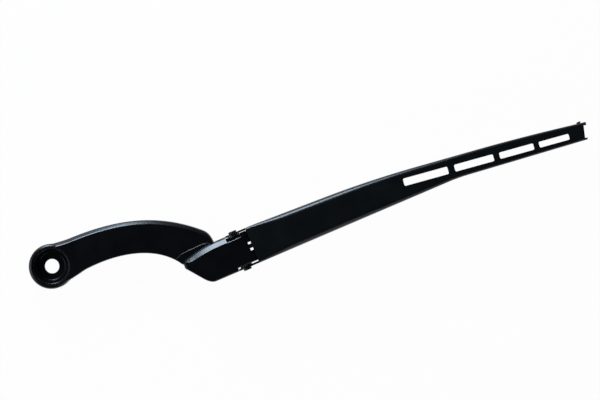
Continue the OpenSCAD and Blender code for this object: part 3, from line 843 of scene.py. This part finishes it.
bush_bronze = Finish("bush_bronze", Metallic=1.0)
pores = bush_bronze.noise(2500.0, 3.0)
bush_bronze.feed(
    Base_Color=bush_bronze.between(
        bush_bronze.spread(pores, 0.3, 0.7), (0.16, 0.11, 0.06), (0.42, 0.3, 0.17)
    ),
    Roughness=0.42 + 0.2 * pores,
)
bush_bronze.relief(pores, 0.3)
bore_r, start_y, cheek = PIN_R + BUSH_PLAY, FORK_WIDTH / 2, TONGUE_WIDTH / 2
bush_profile = [
    (bore_r, start_y), (BUSH_R, start_y), (BUSH_R, cheek), (FLANGE_R - FLANGE_BREAK, cheek),
    (FLANGE_R, cheek + FLANGE_BREAK), (FLANGE_R, cheek + FLANGE - FLANGE_BREAK),
    (FLANGE_R - FLANGE_BREAK, cheek + FLANGE), (bore_r + BUSH_BREAK, cheek + FLANGE),
    (bore_r, cheek + FLANGE - BUSH_BREAK),
]
for name, side in (("bush_upper", 1), ("bush_lower", -1)):
    bush = turned(name + "_turned", bush_profile, place(*HINGE), NORTH * side, EAST, HOLE_STEPS)
    smooth(bush)
    finish_piece(bush, bush_bronze, "head", "bush_bronze", name)

# ---- Rivets and anchor pin ----
# The anchor pin holds the spring's link in the casting. A flush rivet across the channel holds the
# spring's far ring, and a stub rivet with a low head sits in the upper wall of the tip.
RIVET_STEPS, STUB_STEPS = 40, 32
RIVET_BREAK = 0.3
STUB_TAIL, STUB_BREAK = 0.9, 0.2
STUB_HEAD, STUB_ROUND = 1.2, 0.5


def rivet(name, radius, low, high, at):
    """A plain round pin along Y with slightly broken ends."""
    edge = RIVET_BREAK
    profile = [
        (0, low), (radius - edge, low), (radius, low + edge),
        (radius, high - edge), (radius - edge, high), (0, high),
    ]
    piece = turned(name, profile, at, NORTH, EAST, RIVET_STEPS)
    smooth(piece)
    return piece


zinc = Finish("zinc_plated_steel", Metallic=1.0)
clouds = zinc.noise(260.0, 4.0)
zinc.feed(
    Base_Color=zinc.between(
        zinc.spread(clouds, 0.35, 0.7), (0.3, 0.29, 0.27), (0.5, 0.5, 0.49)
    ),
    Roughness=0.34 + 0.2 * clouds,
)
zinc.relief(clouds, 0.08)
anchor = rivet("anchor_bolt", ANCHOR_R, -cheek, cheek, place(*ANCHOR))
finish_piece(anchor, zinc, "head", "plain_steel", "anchor_pin")
far_rivet = rivet(
    "far_rivet", RIVET_R, wall_low(RIVET.x), wall_up(RIVET.x) - 0.1, place(RIVET.x, 0, RIVET.z)
)
finish_piece(far_rivet, pin_paint, "arm", "painted_steel", "spring_rivet")

wall_face = wall_up(stub.x - STUB_R - 0.5) + 0.02
tail = wall_face - SHEET - STUB_TAIL
stub_profile = [
    (0, tail), (STUB_R - STUB_BREAK, tail), (STUB_R, tail + STUB_BREAK),
    (STUB_R, wall_face), (STUB_R + STUB_ROUND, wall_face),
    *quarter(STUB_R, wall_face + STUB_HEAD - STUB_ROUND, STUB_ROUND, 0, 90, 4),
    (0, wall_face + STUB_HEAD),
]
stub_rivet = turned(
    "stub_rivet", stub_profile, place(stub.x, 0, stub.z), NORTH, EAST, STUB_STEPS
)
smooth(stub_rivet)
finish_piece(stub_rivet, pin_paint, "arm", "painted_steel", "tip_rivet")

# ---- Link ----
# A flat link stamped from thick steel sheet. Its eye turns on the anchor pin, its bar is bowed to
# pass below the hinge pin, and the spring's ring hangs in the slot at its other end.
PULL_START = Vector((ANCHOR.x, ANCHOR.z))
pull = Vector((RIVET.x, RIVET.z)) - PULL_START
PULL_LENGTH = pull.length
pull_turn = Matrix.Rotation(math.atan2(pull.y, pull.x), 2)
LINK_EYE, LINK_HALF, LINK_SAG, LINK_SHEET = 4.2, 1.9, -9.2, 4.0
LINK_PLAY, LINK_BREAK, LINK_CLEAR = 0.05, 0.35, 0.1
HOOK_REACH, WIRE_R, COIL_R = 28.0, 1.0, 4.8
HOOK_PLAY, HOOK_WALL, HOOK_SPARE = 0.7, 2.3, 0.3
# The bar's middle line as three curves, each with its first step and its number of steps
BAR_PARTS = (
    (((0, 0), (0.2, LINK_SAG * 0.7), (2.4, LINK_SAG), (6, LINK_SAG)), 0, 14),
    (((16, LINK_SAG), (20.4, LINK_SAG), (21.4, LINK_SAG * 0.62), (22.8, LINK_SAG * 0.34)), 0, 12),
    (((22.8, LINK_SAG * 0.34), (23.8, LINK_SAG * 0.12), (25.2, 0), (HOOK_REACH, 0)), 1, 8),
)

# As the arm lifts, the spring's ring comes nearer to the eye, so the slot is longer by this stretch
stretch = (
    math.hypot(ANCHOR_BACK, ANCHOR_DROP) + math.hypot(RIVET_REACH, RIVET_DROP) - PULL_LENGTH
    + COIL_R - math.sqrt(COIL_R**2 - LINK_SHEET**2 / 4)
)
hook_back = HOOK_REACH + HOOK_PLAY - HOOK_SPARE
hook_front = HOOK_REACH + stretch + HOOK_SPARE - HOOK_PLAY
slot_r = WIRE_R + HOOK_PLAY
hook_r = slot_r + HOOK_WALL
back = Vector((hook_back, 0))
middle = [Vector(bend_point(c, i / n)) for c, first, n in BAR_PARTS for i in range(first, n + 1)]


def beside(side):
    """The points on one side of the link's bar that lie clear of its eye and of its hook end."""
    points = []
    for i, point in enumerate(middle):
        run = (middle[min(i + 1, len(middle) - 1)] - middle[max(i - 1, 0)]).normalized()
        point = point + Vector((-run.y, run.x)) * side * LINK_HALF
        if point.length > LINK_EYE + LINK_CLEAR and (point - back).length > hook_r + LINK_CLEAR:
            points.append(point)
    return points


def bearing(v):
    return math.degrees(math.atan2(v.y, v.x))


def on_pull(x, z, y=0.0):
    """A point given along and above the spring's line of pull."""
    at = PULL_START + pull_turn @ Vector((x, z))
    return place(at.x, HINGE.y + y, at.y)


def link_block(name, outline, width):
    return block(name, [on_pull(x, z, -width / 2) for x, z in outline], NORTH * width)


above, below = beside(1), beside(-1)
link_outline = [
    *quarter(0, 0, LINK_EYE, bearing(above[0]) + 4, bearing(below[0]) + 356, 44),
    *below,
    *quarter(hook_back, 0, hook_r, bearing(below[-1] - back) + 364, 270, 8),
    *quarter(hook_front, 0, hook_r, -90, 90, 24),
    *quarter(hook_back, 0, hook_r, 90, bearing(above[-1] - back) - 4, 10),
    *reversed(above),
]
hook_slot = [
    *quarter(hook_front, 0, slot_r, -90, 90, 16), *quarter(hook_back, 0, slot_r, 90, 270, 16),
]
link = link_block("hook_link", link_outline, LINK_SHEET)
join(link, link_block("hook_slot", hook_slot, 2 * LINK_SHEET), "DIFFERENCE")
bore(link, ANCHOR_R + LINK_PLAY, ANCHOR - NORTH * 5, 10)
break_edges(link, LINK_BREAK, 60)
smooth(link)
finish_piece(link, zinc, "link", "plain_steel", "spring_link")

# ---- Tension spring ----
# Close-wound round wire with a ring at each end. One ring hangs in the link and the other, turned a
# quarter, sits round the far rivet.
COIL_TURNS, COIL_STEPS, COIL_START = 30, 14, 60
COIL_LEAD, WIRE_BEND = 3, 7
ring_gap = RIVET_R + 0.1 + WIRE_R
coil_from = HOOK_REACH + 2 * COIL_R + COIL_LEAD
coil_to = PULL_LENGTH - 2 * COIL_R - COIL_LEAD + (COIL_R - ring_gap)
first_ring = HOOK_REACH + COIL_R
last_ring = PULL_LENGTH - COIL_R + ring_gap


def blend_points(a, a_run, b, b_run, steps):
    """Points between two ends of wire that leave each in its own direction."""
    points = []
    for i in range(1, steps):
        t = i / steps
        points.append(
            a * (2 * t**3 - 3 * t**2 + 1) + a_run * (t**3 - 2 * t**2 + t)
            + b * (3 * t**2 - 2 * t**3) + b_run * (t**3 - t**2)
        )
    return points


def wave(degrees):
    """A point on the ring of a coil: its two distances from the middle."""
    return COIL_R * math.cos(math.radians(degrees)), COIL_R * math.sin(math.radians(degrees))


near_ring, far_ring, coil = [], [], []
for a in range(285, 89, -15):
    c, s = wave(a)
    near_ring.append(Vector((first_ring + c, s, 0)))
for a in range(90, -106, -15):
    c, s = wave(a)
    far_ring.append(Vector((last_ring + c, 0, s)))
for i in range(COIL_TURNS * COIL_STEPS + 1):
    u = i / (COIL_TURNS * COIL_STEPS)
    along = coil_from + (coil_to - coil_from) * u
    coil.append(Vector((along, *wave(360 * COIL_TURNS * u + COIL_START))))
lead_in, lead_out = (coil[1] - coil[0]).normalized(), (coil[-1] - coil[-2]).normalized()
straight = EAST * WIRE_BEND
wire = [
    *near_ring,
    *blend_points(near_ring[-1], straight, coil[0], 6 * lead_in, 6),
    *coil,
    *blend_points(coil[-1], WIRE_BEND * lead_out, far_ring[0], straight, 7),
    *far_ring,
]

bpy.ops.object.select_all(action="DESELECT")
bpy.ops.curve.primitive_nurbs_path_add()
spring = name_new("wound_spring")
spring.data.splines.clear()
strand = spring.data.splines.new("POLY")
strand.points.add(len(wire) - 1)
for point, (x, y, z) in zip(strand.points, wire):
    point.co = (*on_pull(x, z, y), 1)
spring.data.bevel_depth = WIRE_R * MM
spring.data.bevel_resolution = 3
spring.data.use_fill_caps = True
bpy.ops.object.convert(target="MESH")
spring = bpy.context.object
start_edit()
bpy.ops.mesh.remove_doubles(threshold=WELD)
face_out()
leave_edit()
smooth(spring, 50)

spring_steel = Finish("spring_steel", Metallic=1.0)
oil = spring_steel.noise(180.0, 3.0)
draw_marks = spring_steel.noise(2600.0)
spring_steel.feed(
    Base_Color=spring_steel.between(
        spring_steel.spread(oil, 0.35, 0.7), (0.11, 0.11, 0.12), (0.24, 0.24, 0.25)
    ),
    Roughness=0.26 + 0.2 * oil,
)
spring_steel.relief(draw_marks, 0.1)
finish_piece(spring, spring_steel, "spring", "spring_steel", "tension_spring")

# ---- Studio ----
# A plain white floor on which the boss stands, and a dark room with a paler horizon. A soft lamp
# low at the picture's upper left lights the bevels, with weaker ones at its left and lower right.
FLOOR_GAP, FLOOR_SIZE, FLOOR_SHOWN = 0.0005, 30, 0.975
HORIZON, OVERHEAD = (0.03, (0.3, 0.32, 0.36)), (0.35, (0.03, 0.034, 0.04))

bpy.ops.object.select_all(action="DESELECT")
bpy.ops.mesh.primitive_plane_add(
    size=FLOOR_SIZE, location=(0.25, 0, BOSS_UNDERSIDE * MM - FLOOR_GAP)
)
floor = bpy.context.object
floor.name = "floor"
white = Finish("white_floor", Base_Color=(0.9, 0.9, 0.9, 1.0), Roughness=0.9)
seen = white.node("ShaderNodeLightPath", {}, [], "Is Camera Ray")
for other in ("Is Glossy Ray", "Is Transmission Ray"):
    ray = white.node("ShaderNodeLightPath", {}, [], other)
    seen = white.node("ShaderNodeMath", {"operation": "MAXIMUM"}, [seen, ray])
glow = white.node("ShaderNodeEmission", {}, {"Color": (1.0, 1.0, 1.0, 1.0), "Strength": 1.0})
lit = Socket(white, white.shader.outputs[0])
shown = white.node("ShaderNodeMixShader", {}, [seen * FLOOR_SHOWN, lit, glow])
white.link(shown, "Material Output", "Surface")
floor.data.materials.append(white.material)

world = bpy.data.worlds.new("room")
bpy.context.scene.world = world
room = Nodes(world)
direction = room.node("ShaderNodeTexCoord", {}, [], "Generated")
lift = room.node("ShaderNodeSeparateXYZ", {}, [direction], "Z")
shade = room.node("ShaderNodeValToRGB", {"stops": (HORIZON, OVERHEAD)}, [lift])
room.link(shade, "Background", "Color")

picture_up = from_picture @ NORTH
picture_right = from_picture @ EAST


def soft_lamp(name, side, lift, distance, size, power, colour):
    """A soft lamp round the arm. Its bearing in the picture, side, and its lift are in degrees."""
    bpy.ops.object.light_add(type="AREA")
    lamp = bpy.context.object
    lamp.name = name
    out = picture_right * math.cos(math.radians(side)) + picture_up * math.sin(math.radians(side))
    out = out * math.cos(math.radians(lift)) + UP * math.sin(math.radians(lift))
    lamp.location = AIM + out * distance
    lamp.rotation_euler = out.to_track_quat("Z", "Y").to_euler()
    lamp.data.shape = "RECTANGLE"
    lamp.data.size, lamp.data.size_y = size
    lamp.data.energy = power
    lamp.data.color = colour


soft_lamp(
    "key", side=116.5, lift=24, distance=1.6, size=(0.55, 0.7), power=28, colour=(0.82, 0.91, 1.0)
)
soft_lamp(
    "side", side=192, lift=34, distance=2.2, size=(1.6, 0.8), power=10, colour=(0.88, 0.94, 1.0)
)
soft_lamp(
    "fill", side=-60, lift=25, distance=2.2, size=(1.2, 0.6), power=4, colour=(1.0, 0.98, 0.95)
)

scene = bpy.context.scene
scene.view_settings.view_transform = "Standard"
